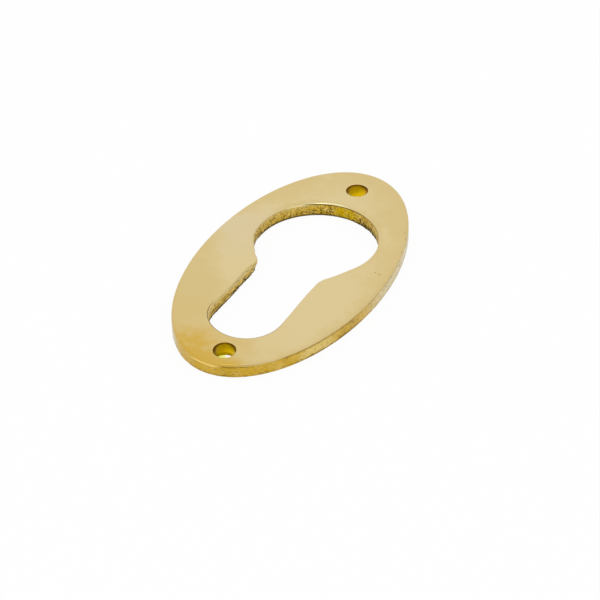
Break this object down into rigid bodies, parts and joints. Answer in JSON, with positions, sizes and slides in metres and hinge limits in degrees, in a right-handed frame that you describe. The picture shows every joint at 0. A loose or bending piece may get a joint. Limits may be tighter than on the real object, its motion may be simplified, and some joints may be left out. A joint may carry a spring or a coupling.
{
  "type": "keyhole escutcheon",
  "caption": "Flat oval brass escutcheon with a keyway cut-out for a profile lock cylinder and a plain screw hole at each end.",
  "frame": {"origin": "middle of the flat back, where the oval's two axes cross", "axes": "+Z out of the polished face, +Y along the oval towards the round head of the cut-out, +X across it"},
  "size_m": [0.0272, 0.0494, 0.0021],
  "materials": {
    "polished_brass": "satin polished face, rough keyway wall"
  },
  "bodies": {
    "root": {"escutcheon_plate": "polished_brass"}
  },
  "joints": []
}
